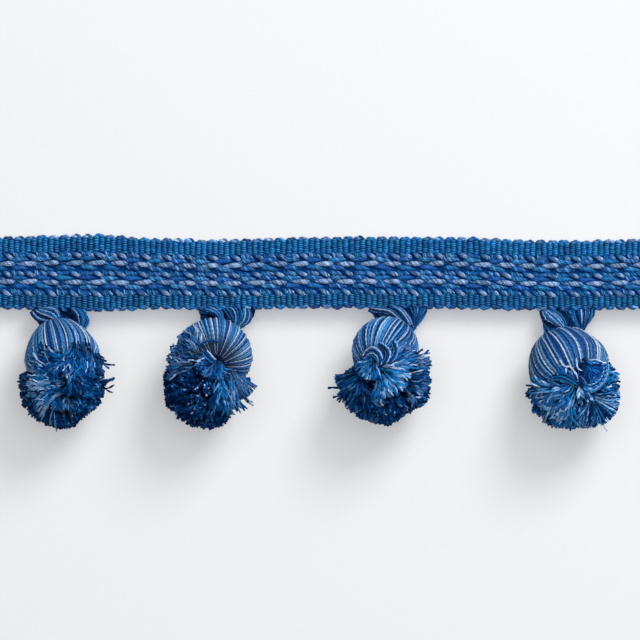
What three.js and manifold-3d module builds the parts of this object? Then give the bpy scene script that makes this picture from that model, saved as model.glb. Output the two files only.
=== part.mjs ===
// Pompom fringe trim: a woven heading with two ribbed borders, and tassels that hang from its front edge.
// Each tassel is a hank of yarn folded over a short loop and tied at the neck into a round head.
// Its cut ends are trimmed to a pompom.
// The trim lies face up on a flat surface. The tassels are thicker than the heading and lift its front edge.
// Millimetres, +Z up, +X along the heading, -Y towards the tassels.
// The origin is the middle of the strip of the heading's back that lies flat.
import * as THREE from "three";
import { mergeVertices } from "three/addons/utils/BufferGeometryUtils.js";
import Module from "manifold-3d";

const wasm = await Module();
wasm.setup();

// Heading: a length of four tassel repeats
const HEADING_LENGTH = 204;
const HEADING_WIDTH = 22;
const REST_STRIP = 8; // the part of the back that lies flat, behind the bend
const BEND_WIDTH = 4; // where the back turns up
const FRONT_SLOPE = 0.38; // rise of the back for each millimetre in front of the bend
const RIB_PITCH = 1.7;
const RIBS_PER_EDGE_LOOP = 2; // the weft turns at the edge after every second rib
const RIBS_PER_FLOAT = 4;
const EDGE_LOOP_DEPTH = 0.7; // how far the edge draws in between two loops
const RIB_RELIEF = 0.5;
const EDGE_TURN = 1.4; // width at each edge where the back turns into the face
const CLEARANCE = 0.35; // between pieces

// How far the two edges wander from straight: the place along the heading, and the shift of each edge
const EDGE_SWAY = [
  { along: -102, rear: -0.25, front: 0.15 },
  { along: -67, rear: 0.65, front: -0.7 },
  { along: -47, rear: -0.75, front: 0.05 },
  { along: -33, rear: -1.0, front: -0.15 },
  { along: 0, rear: -0.2, front: 0.25 },
  { along: 35, rear: -0.2, front: 0.15 },
  { along: 72, rear: -1.25, front: -0.3 },
  { along: 102, rear: -0.9, front: 0.15 },
];

// Rows of the heading's face from the rear edge to the front
// Each has its place across, its height over the back, and its relief
const FACE_ROWS = [
  { across: 0, height: 0, relief: "edge" },
  { across: 0.8, height: 1.15, relief: "loop" },
  { across: 4.7, height: 1.15, relief: "rib" },
  { across: 5.1, height: 0.95, relief: "plain" },
  { across: 5.8, height: 1.3, relief: "slant" },
  { across: 6.8, height: 1.1, relief: "plain" },
  { across: 8.15, height: 1.2, relief: "float" },
  { across: 9.5, height: 1.1, relief: "plain" },
  { across: 10.9, height: 1.3, relief: "slant" },
  { across: 12.3, height: 1.1, relief: "plain" },
  { across: 13.65, height: 1.2, relief: "float" },
  { across: 15.0, height: 1.1, relief: "plain" },
  { across: 16.4, height: 1.3, relief: "slant" },
  { across: 17.3, height: 0.95, relief: "plain" },
  { across: 17.7, height: 1.15, relief: "rib" },
  { across: 21.2, height: 1.15, relief: "loop" },
  { across: 22, height: 0, relief: "edge" },
];
const COLUMN_PITCH = {
  // along a row of each relief
  edge: RIB_PITCH / 2,
  loop: RIB_PITCH / 2,
  rib: RIB_PITCH / 2,
  float: RIB_PITCH,
  slant: RIB_PITCH,
  plain: RIB_PITCH * RIBS_PER_FLOAT,
};
const BACK_ROWS = [
  EDGE_TURN,
  REST_STRIP,
  REST_STRIP + BEND_WIDTH / 2,
  REST_STRIP + BEND_WIDTH,
  HEADING_WIDTH - EDGE_TURN,
];
const FLOAT_SHAPE = [0, 0.75, 0.9, 0.6]; // extra height over one pitch of a float, from the gap on
const SLANT_SHAPE = [0, 0.35, 0.1, 0.4]; // the same for a row of slanted stitches

// Head of a tassel, from the fold over the loop to the tied neck: shares of the head's length and radius
const HEAD_PROFILE = [
  { length: 0, radius: 0.4 },
  { length: 0.06, radius: 0.6 },
  { length: 0.2, radius: 0.84 },
  { length: 0.36, radius: 0.97 },
  { length: 0.52, radius: 1 },
  { length: 0.68, radius: 0.94 },
  { length: 0.82, radius: 0.76 },
  { length: 0.93, radius: 0.5 },
  { length: 1, radius: 0.29 },
];
const HEAD_RIDGES = 10;
const RIDGE_DEPTH = 0.05; // share of the radius
const NECK_RADIUS = 2.7;
const NECK_SIDES = 8;
const TIE_RADIUS = 3.6;
const TIE_THREAD = 0.5; // radius of the binding thread
const TIE_SIDES = 4;
const TIE_STEPS = 14;

// Pompom: locks that stand on a core and open towards their cut tips
const CORE_RADIUS = 7.8;
const CORE_SHIFT = 1.5; // the core lies off the ball's middle, away from the tied neck
const LOCK_START = 5.6; // from the ball's middle, inside the core
const LOCK_DIRECTIONS = 64; // spread over the whole ball, before the head and the parting take their share
const LOCK_SIDES = 3;
const LOCK_ROOT = 1.2;
const LOCK_TIP = 2.1;
const LOCK_UNEVENNESS = 0.05; // share of the ball's radius
const LOCK_RHYTHM = 2.4; // turn of the unevenness from one lock to the next
const PARTING_DEG = 36; // no lock stands within this angle of the neck

// Loop of yarn that carries a tassel, sewn under the heading's front edge
const LOOP_SEWN = 3.2; // length under the heading
const LEG_PAST_EDGE = 1.8; // where a leg is clear of the heading's edge and starts to rise
const LOOP_HALF_SPAN = 4.7; // between the two legs at the heading, halved
const LEG_GAP = 0.45; // from the heading's back straight down to a leg
const LEG_HALF = { width: 3.3, thickness: 0.9 }; // flattened where it is sewn
const FOLD_HALF = { width: 1.6, thickness: 1.5 }; // rounder in the head's fold
const FOLD_TURN = 3.1; // radius of the loop's round end
const FOLD_TURN_POINTS = 5;
const FOLD_DEPTH = 3.2; // from the head's top to the loop's end
const FOLD_BLEND = { from: 0.2, to: 0.85 }; // where a leg changes from flat to round
const LOOP_STEPS = 14;
const LOOP_LOBES = 4;
const LOBE_DEPTH = 0.2; // share of the half sizes
const LOOP_TWIST_TURNS = 1;

// Tassels from left to right. along is the middle of the loop on the heading.
// The points are [across, out from the heading, up]: the middles of the head and of the pompom, and the neck.
const TASSELS = [
  {
    along: -78.3, headRadius: 11.4, ballRadius: 13.2,
    head: [1.2, 13.6, 11.8], neck: [3.3, 21.4, 17.2], ball: [1.5, 22.5, 12.2],
  },
  {
    along: -28.2, headRadius: 11.6, ballRadius: 13.2,
    head: [-3.6, 13.4, 12], neck: [-3, 16.1, 21.2], ball: [-5.6, 22.4, 12.4],
  },
  {
    along: 23.7, headRadius: 10.7, ballRadius: 13.6,
    head: [-4, 12.8, 11.1], neck: [-7.2, 17.2, 18.4], ball: [-4.2, 21.8, 12.4],
  },
  {
    along: 73.8, headRadius: 11.8, ballRadius: 14,
    head: [0.2, 17.2, 12.2], neck: [4.2, 24.2, 18.4], ball: [1.4, 23.2, 12.6],
  },
];

const REAR_Y = REST_STRIP / 2;
const FRONT_Y = REAR_Y - HEADING_WIDTH;
const ACROSS = new THREE.Vector3(1, 0, 0);
const UP = new THREE.Vector3(0, 0, 1);
const SAME_POINT = 1e-4; // vertices nearer than this are one

// Turns a closed geometry into a solid for cutting and joining
function solidOf(geometry) {
  const bare = geometry.clone();
  bare.deleteAttribute("normal");
  bare.deleteAttribute("uv");
  const merged = mergeVertices(bare, SAME_POINT);
  return new wasm.Manifold(
    new wasm.Mesh({
      numProp: 3,
      vertProperties: new Float32Array(merged.attributes.position.array),
      triVerts: new Uint32Array(merged.index.array),
    }),
  );
}

function geometryOf(solid) {
  const mesh = solid.getMesh();
  const geometry = new THREE.BufferGeometry();
  geometry.setAttribute("position", new THREE.BufferAttribute(mesh.vertProperties, 3));
  geometry.setIndex(new THREE.BufferAttribute(mesh.triVerts, 1));
  geometry.computeVertexNormals();
  return geometry;
}

// Collects triangles between shared points, and drops those that have no area
class Skin {
  constructor() {
    this.indexOf = new Map();
    this.positions = [];
    this.indices = [];
  }

  vertex(point) {
    if (!this.indexOf.has(point)) {
      this.indexOf.set(point, this.indexOf.size);
      this.positions.push(point.x, point.y, point.z);
    }
    return this.indexOf.get(point);
  }

  triangle(a, b, c) {
    if (a === b || b === c || c === a) return;
    this.indices.push(this.vertex(a), this.vertex(b), this.vertex(c));
  }

  // Fills the strip between two rows of points that run the same way, whatever their counts
  zip(left, right, key) {
    let i = 0;
    let j = 0;
    while (i < left.length - 1 || j < right.length - 1) {
      const leftIsDone = i === left.length - 1;
      const rightIsDone = j === right.length - 1;
      if (leftIsDone || (!rightIsDone && key(right[j + 1]) <= key(left[i + 1]))) {
        this.triangle(left[i], right[j], right[j + 1]);
        j += 1;
      } else {
        this.triangle(left[i], right[j], left[i + 1]);
        i += 1;
      }
    }
  }

  geometry() {
    const made = new THREE.BufferGeometry();
    made.setAttribute("position", new THREE.Float32BufferAttribute(this.positions, 3));
    made.setIndex(this.indices);
    made.computeVertexNormals();
    return made;
  }
}

// Height of the heading's back over the surface, at a distance from the rear edge
function backHeight(across) {
  const past = across - REST_STRIP;
  if (past <= 0) return 0;
  const bent = Math.min(past, BEND_WIDTH);
  return (FRONT_SLOPE * bent * bent) / (2 * BEND_WIDTH) + FRONT_SLOPE * (past - bent);
}

// Wander of one edge of the heading at a place along it
function swayAt(along, edge) {
  const last = EDGE_SWAY.length - 2;
  const found = EDGE_SWAY.findIndex((row, i) => i === last || along <= EDGE_SWAY[i + 1].along);
  const [a, b] = EDGE_SWAY.slice(found, found + 2);
  const share = THREE.MathUtils.smoothstep(along, a.along, b.along);
  return THREE.MathUtils.lerp(a[edge], b[edge], share);
}

// A point of the heading, raised over its back
function headingPoint(along, across, raised) {
  const sway = THREE.MathUtils.lerp(
    swayAt(along, "rear"),
    swayAt(along, "front"),
    across / HEADING_WIDTH,
  );
  return new THREE.Vector3(along, REAR_Y - across + sway, backHeight(across) + raised);
}

// One row of the heading's face, with the ribs, edge loops, floats or stitches that cross it
function faceRow({ across, height, relief }) {
  const pitch = COLUMN_PITCH[relief];
  const columns = Math.round(HEADING_LENGTH / pitch);
  const inwards = across < HEADING_WIDTH / 2 ? 1 : -1;
  const points = [];
  for (let column = 0; column <= columns; column += 1) {
    const along = -HEADING_LENGTH / 2 + column * pitch;
    const onCrest = column % 2;
    const loopTurn = (Math.PI * column) / (2 * RIBS_PER_EDGE_LOOP);
    const isOnEdge = relief === "edge" || relief === "loop";
    const drawnIn = isOnEdge ? EDGE_LOOP_DEPTH * (1 - Math.abs(Math.sin(loopTurn))) : 0;
    let raised = height;
    if (relief === "loop" || relief === "rib") raised += RIB_RELIEF * onCrest;
    if (relief === "float") raised += FLOAT_SHAPE[column % RIBS_PER_FLOAT];
    if (relief === "slant") raised += SLANT_SHAPE[column % RIBS_PER_FLOAT];
    points.push(headingPoint(along, across + inwards * drawnIn, raised));
  }
  return points;
}

function backRow(across) {
  const pitch = COLUMN_PITCH.plain;
  const columns = Math.round(HEADING_LENGTH / pitch);
  return Array.from({ length: columns + 1 }, (_, column) =>
    headingPoint(-HEADING_LENGTH / 2 + column * pitch, across, 0),
  );
}

// The woven band: its face and back share their edge rows, and its two ends are cut square
function headingGeometry() {
  const skin = new Skin();
  const alongKey = (point) => point.x;
  const acrossKey = (point) => -point.y;
  const face = FACE_ROWS.map(faceRow);
  const back = [face[0], ...BACK_ROWS.map(backRow), face[face.length - 1]];
  for (let i = 0; i < face.length - 1; i += 1) skin.zip(face[i], face[i + 1], alongKey);
  for (let i = 0; i < back.length - 1; i += 1) skin.zip(back[i + 1], back[i], alongKey);
  const firstOf = (rows) => rows.map((row) => row[0]);
  const lastOf = (rows) => rows.map((row) => row[row.length - 1]);
  skin.zip(firstOf(face), firstOf(back), acrossKey);
  skin.zip(lastOf(back), lastOf(face), acrossKey);
  return skin.geometry();
}

// A place in a tassel's own frame, where +Y runs back to the heading
function place([across, out, up]) {
  return new THREE.Vector3(across, -out, up);
}

// Turns a geometry that stands on the origin along +Y, and moves it to a point along a direction
function standAt(geometry, point, direction) {
  const turn = new THREE.Quaternion().setFromUnitVectors(new THREE.Vector3(0, 1, 0), direction);
  return geometry.applyQuaternion(turn).translate(point.x, point.y, point.z);
}

// Where a tassel's parts are, worked out from its row in the table
function tasselFrame(row) {
  const head = place(row.head);
  const neck = place(row.neck);
  const axis = neck.clone().sub(head);
  const top = head.clone().sub(axis);
  const headLength = 2 * axis.length();
  return { ...row, top, neck, ball: place(row.ball), axis: axis.normalize(), headLength };
}

// The folded hank: a round form with ridges of yarn from the fold to the neck
function headGeometry({ top, axis, headLength, headRadius }) {
  const outline = HEAD_PROFILE.map(
    ({ length, radius }) => new THREE.Vector2(radius * headRadius, length * headLength),
  );
  const profile = [new THREE.Vector2(0, 0), ...outline, new THREE.Vector2(0, headLength)];
  const segments = 2 * HEAD_RIDGES;
  const geometry = new THREE.LatheGeometry(profile, segments);
  const position = geometry.attributes.position;
  for (let i = 0; i < position.count; i += 1) {
    const segment = Math.floor(i / profile.length) % segments;
    const shrink = segment % 2 ? 1 : 1 - RIDGE_DEPTH;
    position.setX(i, position.getX(i) * shrink);
    position.setZ(i, position.getZ(i) * shrink);
  }
  return standAt(geometry, top, axis);
}

// Radius of the head at a distance from its fold
function headRadiusAt({ headLength, headRadius }, distance) {
  const share = distance / headLength;
  const next = HEAD_PROFILE.findIndex((p) => p.length >= share);
  if (share < 0 || next < 1) return 0;
  const [a, b] = HEAD_PROFILE.slice(next - 1, next + 1);
  return headRadius * THREE.MathUtils.mapLinear(share, a.length, b.length, a.radius, b.radius);
}

function isInHead(frame, point) {
  const offset = point.clone().sub(frame.top);
  const distance = offset.dot(frame.axis);
  const aside = offset.addScaledVector(frame.axis, -distance).length();
  return aside < headRadiusAt(frame, distance);
}

// Even directions over a whole ball, on a spiral
function ballDirections(count) {
  const goldenAngle = Math.PI * (3 - Math.sqrt(5));
  return Array.from({ length: count }, (_, i) => {
    const z = 1 - (2 * i + 1) / count;
    const aside = Math.sqrt(1 - z * z);
    return new THREE.Vector3(aside * Math.cos(i * goldenAngle), aside * Math.sin(i * goldenAngle), z);
  });
}

// One lock of cut yarn from the pompom's middle: it stops where its tip meets the surface
function lockGeometry({ ball }, direction, reach) {
  const made = (end) => {
    const lock = new THREE.CylinderGeometry(LOCK_TIP, LOCK_ROOT, end - LOCK_START, LOCK_SIDES);
    return standAt(lock.translate(0, (end + LOCK_START) / 2, 0), ball, direction);
  };
  const full = made(reach);
  full.computeBoundingBox();
  const below = -full.boundingBox.min.z;
  return below > 0 ? made(reach + below / direction.z) : full;
}

function lockGeometries(frame) {
  const parting = frame.neck.clone().sub(frame.ball).normalize();
  const stands = (direction) => {
    const tip = frame.ball.clone().addScaledVector(direction, frame.ballRadius);
    const fromParting = THREE.MathUtils.radToDeg(direction.angleTo(parting));
    return fromParting > PARTING_DEG && !isInHead(frame, tip);
  };
  return ballDirections(LOCK_DIRECTIONS)
    .filter(stands)
    .map((direction, i) => {
      const uneven = LOCK_UNEVENNESS * Math.sin(LOCK_RHYTHM * i + frame.along);
      return lockGeometry(frame, direction, frame.ballRadius * (1 - LOCK_UNEVENNESS + uneven));
    });
}

// Middle line of the loop: from under the heading, round through the fold of the head, and back
function loopPath({ top, axis }) {
  const legUp = (y) => backHeight(HEADING_WIDTH - y) - LEG_GAP - LEG_HALF.thickness;
  const leg = (side) => [
    new THREE.Vector3(side * LOOP_HALF_SPAN, LOOP_SEWN, legUp(LOOP_SEWN)),
    new THREE.Vector3(side * LOOP_HALF_SPAN, -LEG_PAST_EDGE, legUp(0)),
  ];
  const aside = ACROSS.clone().projectOnPlane(axis).normalize();
  const turn = Array.from({ length: FOLD_TURN_POINTS }, (_, i) => {
    const angle = (Math.PI * i) / (FOLD_TURN_POINTS - 1);
    return top
      .clone()
      .addScaledVector(axis, FOLD_DEPTH + FOLD_TURN * (Math.sin(angle) - 1))
      .addScaledVector(aside, -FOLD_TURN * Math.cos(angle));
  });
  const points = [...leg(-1), ...turn, ...leg(1).reverse()];
  return new THREE.CatmullRomCurve3(points, false, "centripetal");
}

// A twisted hank along the loop, flat at its sewn ends and rounder in the fold, or the room that it needs
function loopGeometry(frame, margin, lobeDepth) {
  const path = loopPath(frame);
  const sides = 2 * LOOP_LOBES;
  const skin = new Skin();
  const rings = [];
  for (let step = 0; step <= LOOP_STEPS; step += 1) {
    const share = step / LOOP_STEPS;
    const centre = path.getPointAt(share);
    const tangent = path.getTangentAt(share);
    const aside = new THREE.Vector3().crossVectors(tangent, UP).normalize();
    const over = new THREE.Vector3().crossVectors(aside, tangent);
    const inFold = THREE.MathUtils.smoothstep(Math.sin(Math.PI * share), FOLD_BLEND.from, FOLD_BLEND.to);
    const width = THREE.MathUtils.lerp(LEG_HALF.width, FOLD_HALF.width, inFold) + margin;
    const thickness = THREE.MathUtils.lerp(LEG_HALF.thickness, FOLD_HALF.thickness, inFold) + margin;
    const ring = [];
    for (let side = 0; side < sides; side += 1) {
      const angle = 2 * Math.PI * (side / sides + LOOP_TWIST_TURNS * share);
      const lobe = side % 2 ? 1 - lobeDepth : 1;
      const point = centre.clone();
      point.addScaledVector(aside, width * lobe * Math.cos(angle));
      point.addScaledVector(over, thickness * lobe * Math.sin(angle));
      ring.push(point);
    }
    rings.push(ring);
  }
  for (let step = 0; step < LOOP_STEPS; step += 1) {
    for (let side = 0; side < sides; side += 1) {
      const next = (side + 1) % sides;
      const [a, b] = [rings[step], rings[step + 1]];
      skin.triangle(a[side], b[side], b[next]);
      skin.triangle(a[side], b[next], a[next]);
    }
  }
  const first = rings[0];
  const last = rings[LOOP_STEPS];
  for (let side = 1; side < sides - 1; side += 1) {
    skin.triangle(first[0], first[side], first[side + 1]);
    skin.triangle(last[0], last[side + 1], last[side]);
  }
  return skin.geometry();
}

// The binding thread round the neck, or the room that it needs
function tieGeometry({ neck, axis }, margin) {
  const ring = new THREE.TorusGeometry(TIE_RADIUS, TIE_THREAD + margin, TIE_SIDES, TIE_STEPS);
  return standAt(ring.rotateX(Math.PI / 2), neck, axis);
}

// Head and pompom are one hank of yarn, so they are one solid, with room for the loop and the tie
function tasselGeometry(frame) {
  const towardsBall = frame.ball.clone().sub(frame.neck);
  const neckLength = towardsBall.length();
  towardsBall.normalize();
  const neck = new THREE.CylinderGeometry(NECK_RADIUS, NECK_RADIUS, neckLength, NECK_SIDES);
  neck.translate(0, neckLength / 2, 0);
  const coreMiddle = frame.ball.clone().addScaledVector(towardsBall, CORE_SHIFT);
  const core = new THREE.IcosahedronGeometry(CORE_RADIUS, 1).translate(...coreMiddle);
  const pieces = [standAt(neck, frame.neck, towardsBall), core, ...lockGeometries(frame)];
  const hank = pieces.reduce((solid, piece) => solid.add(solidOf(piece)), solidOf(headGeometry(frame)));
  const loopRoom = solidOf(loopGeometry(frame, CLEARANCE, 0));
  const tieRoom = solidOf(tieGeometry(frame, CLEARANCE));
  return geometryOf(hank.subtract(loopRoom).subtract(tieRoom));
}

function yarn(colour, roughness) {
  return new THREE.MeshStandardMaterial({ color: colour, roughness, metalness: 0 });
}

function named(name, geometry, material) {
  const mesh = new THREE.Mesh(geometry, material);
  mesh.name = name;
  return mesh;
}

const headingYarn = yarn(0x1d5a94, 0.75);
const hankYarn = yarn(0x2a619f, 0.7);
const loopYarn = yarn(0x24609c, 0.7);
const tieThread = yarn(0x1c57a6, 0.6);

const trim = new THREE.Group();
trim.add(named("heading", headingGeometry(), headingYarn));
TASSELS.map(tasselFrame).forEach((frame, i) => {
  const tassel = new THREE.Group();
  tassel.position.set(frame.along, FRONT_Y, 0);
  tassel.add(named(`tassel_${i + 1}`, tasselGeometry(frame), hankYarn));
  tassel.add(named(`loop_${i + 1}`, loopGeometry(frame, 0, LOBE_DEPTH), loopYarn));
  tassel.add(named(`tie_${i + 1}`, tieGeometry(frame, 0), tieThread));
  trim.add(tassel);
});

export default trim;
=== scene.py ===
"""Looks of the pompom fringe trim: each yarn that shows is lofted along a path of its own."""

import math
from collections import namedtuple

import bpy
import numpy as np
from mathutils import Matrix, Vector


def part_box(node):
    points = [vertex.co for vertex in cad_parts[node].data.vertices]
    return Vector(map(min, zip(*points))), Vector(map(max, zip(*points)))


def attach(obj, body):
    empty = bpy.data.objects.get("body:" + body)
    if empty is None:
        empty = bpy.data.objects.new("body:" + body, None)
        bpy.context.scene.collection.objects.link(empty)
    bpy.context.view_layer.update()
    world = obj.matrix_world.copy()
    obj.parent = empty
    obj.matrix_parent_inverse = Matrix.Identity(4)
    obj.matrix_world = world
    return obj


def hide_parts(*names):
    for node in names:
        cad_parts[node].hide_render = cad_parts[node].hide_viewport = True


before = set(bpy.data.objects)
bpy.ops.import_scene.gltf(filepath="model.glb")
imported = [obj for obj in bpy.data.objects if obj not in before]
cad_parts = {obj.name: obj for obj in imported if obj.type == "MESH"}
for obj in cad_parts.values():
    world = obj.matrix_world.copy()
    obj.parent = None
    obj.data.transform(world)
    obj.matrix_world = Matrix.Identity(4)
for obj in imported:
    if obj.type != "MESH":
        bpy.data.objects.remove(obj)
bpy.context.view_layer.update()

MM = 0.001
UP = np.array([0.0, 0.0, 1.0])
ACROSS = np.array([1.0, 0.0, 0.0])
PATH_FINENESS = 12  # steps between two given points of a path, before it is made even
STEEP = 0.8  # upward share of a path's direction past which +Z doesn't serve to find its sides
rng = np.random.default_rng(20)

# Heading, in millimetres as in the solids: +X runs along it, its rear edge is at REAR_Y,
# and the flat strip of its back lies at z = 0
heading_low, heading_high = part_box("heading")
LENGTH = (heading_high.x - heading_low.x) / MM
WIDTH = 22.0
REST_STRIP = 8.0
BEND_WIDTH = 4.0
FRONT_SLOPE = 0.38
REAR_Y = REST_STRIP / 2
FRONT_Y = REAR_Y - WIDTH
RIB_PITCH = 1.7
RIBS_PER_LOOP = 2
RIBS = round(LENGTH / RIB_PITCH)

# How far the two edges wander from straight, at places along the heading
SWAY_ALONG = np.array([-102, -67, -47, -33, 0, 35, 72, 102])
SWAY_REAR = np.array([-0.25, 0.65, -0.75, -1.0, -0.2, -0.2, -1.25, -0.9])
SWAY_FRONT = np.array([0.15, -0.7, 0.05, -0.15, 0.25, 0.15, -0.3, 0.15])

# Rows of the weave, as places across the heading from its rear edge
REAR_BORDER = (1.0, 5.0)
FRONT_BORDER = (17.5, 21.1)
PALE_ROWS = (8.2, 13.7)
GROUND_ACROSS = np.array([
    0.85, 1.1, 3.0, 4.9, 5.1, 7.5, 9.5, 11.5, 13.5, 15.5, 17.4, 17.6, 19.2, 20.9, 21.15,
])

# Heights of the woven ground over the heading's back
RIB_FOOT = 0.4
RIB_RISE = 0.5
CENTRE_RISE = 0.95
BACK_LIFT = 0.04
BACK_RELIEF = 0.16
EDGE_WIDTH = 1.0  # within which the ground is thinner
EDGE_THINNER = 0.1

# Warp threads of the borders
WARP_PITCH = 0.34
WARP_FOOT = 0.42
WARP_RISE = 0.95
WARP_RADIUS = 0.4
WARP_TAPER = 0.14
# Painted shade and painted highlight on the warp threads: each thread's colour is darker across its rib and
# lighter on the rib's side towards the light
RIB_PAINTED_SHADE = 0.58
RIB_PAINTED_HIGHLIGHT = 0.85
PAINTED_HIGHLIGHT_PLACE = 0.2  # on the side of a rib towards the light, in ribs from its middle
PAINTED_HIGHLIGHT_WIDTH = 0.17

# Turns of the weft along the edges
TURN_ROOT = 1.5  # from the edge to where a turn starts
TURN_HALF = 1.5  # half of its length along the edge
TURN_REACH = 0.95
TURN_FOOT = 0.45
TURN_RISE = 0.4
TURN_SLIM = 0.55  # share of its thickness at its ends
TURN_PLY = 0.3  # from the middle of the yarn to that of a ply
TURN_RADIUS = 0.45
TURN_BLUNT = 0.8  # less is blunter

# A float is a short length of plied yarn that lies over the weave: half of its length, the height of its
# crest, half of its width, the radius and the number of its plies, their turns, its slant in radians, and
# how far its crest leans towards +X. Floats dive into the weave at FLOAT_FOOT
Float = namedtuple("Float", "half crest wide thick plies turns slant lean", defaults=(0, 0))
FLOAT_FOOT = 0.6
FLOAT_SLIM = 0.2  # share of its width at its ends
FLOAT_FLAT = 0.7  # its thickness, as a share of its width
FLOAT_BLUNT = 0.7  # less is blunter
FLOAT_CHANGE = 0.45  # how far before its middle it begins to change its dye, in halves of its length
FLOAT_PITCH = 4 * RIB_PITCH
FLOAT_PHASE = -87.4  # a pale float's middle
PALE_FLOAT = Float(3.0, 2.0, 0.66, 0.26, 8, 2.2, slant=0.02, lean=0.5)
GAP_FLOAT = Float(1.5, 1.3, 0.4, 0.34, 2, 0.5, slant=0.3)
LEAF = Float(2.9, 1.85, 0.64, 0.27, 6, 2.4, lean=-0.6)
LEAF_ROWS = (  # across, shift, slant
    (6.95, 0.7, 0.02), (9.45, 1.1, 0.16), (12.5, 0.8, 0.05), (15.0, 1.1, 0.1),
)
STITCH = Float(2.3, 1.9, 0.52, 0.27, 5, 1.6, lean=0.3)
STITCH_ROWS = ((5.7, 0.8, 0.5), (11.1, 0.2, 0.44), (16.7, -0.2, 0.6))  # across, shift, slant
CROSSING = Float(1.3, 1.55, 0.42, 0.32, 3, 0.7, slant=0.9)
CROSSING_SHIFT = 0.36 * FLOAT_PITCH
FOLLOWER = Float(1.6, 1.7, 0.46, 0.3, 4, 0.9, lean=0.3)
FOLLOWER_SHIFT = 0.58 * FLOAT_PITCH
FOLLOWER_ASIDE = -0.1

# A fan is a patch of cut yarns that lie on the ball and show their length: the place that they spread
# from [across, out], their sweep in degrees from +X, how near and how far from that place they lie, a
# yarn's length, their number, thickness and dyes, by how many degrees they bend aside, and how untidy
# they are
Fan = namedtuple("Fan", "place sweep span length number thickness dye bend loose", defaults=(0, 1))

# A bunch is some yarns side by side, as a lobe of a loop between the heading and the head, or as a curl
# over the neck: the routes of its first and last yarn in plan [across, out], their number and their dyes
Bunch = namedtuple("Bunch", "first last number dye")
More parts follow.
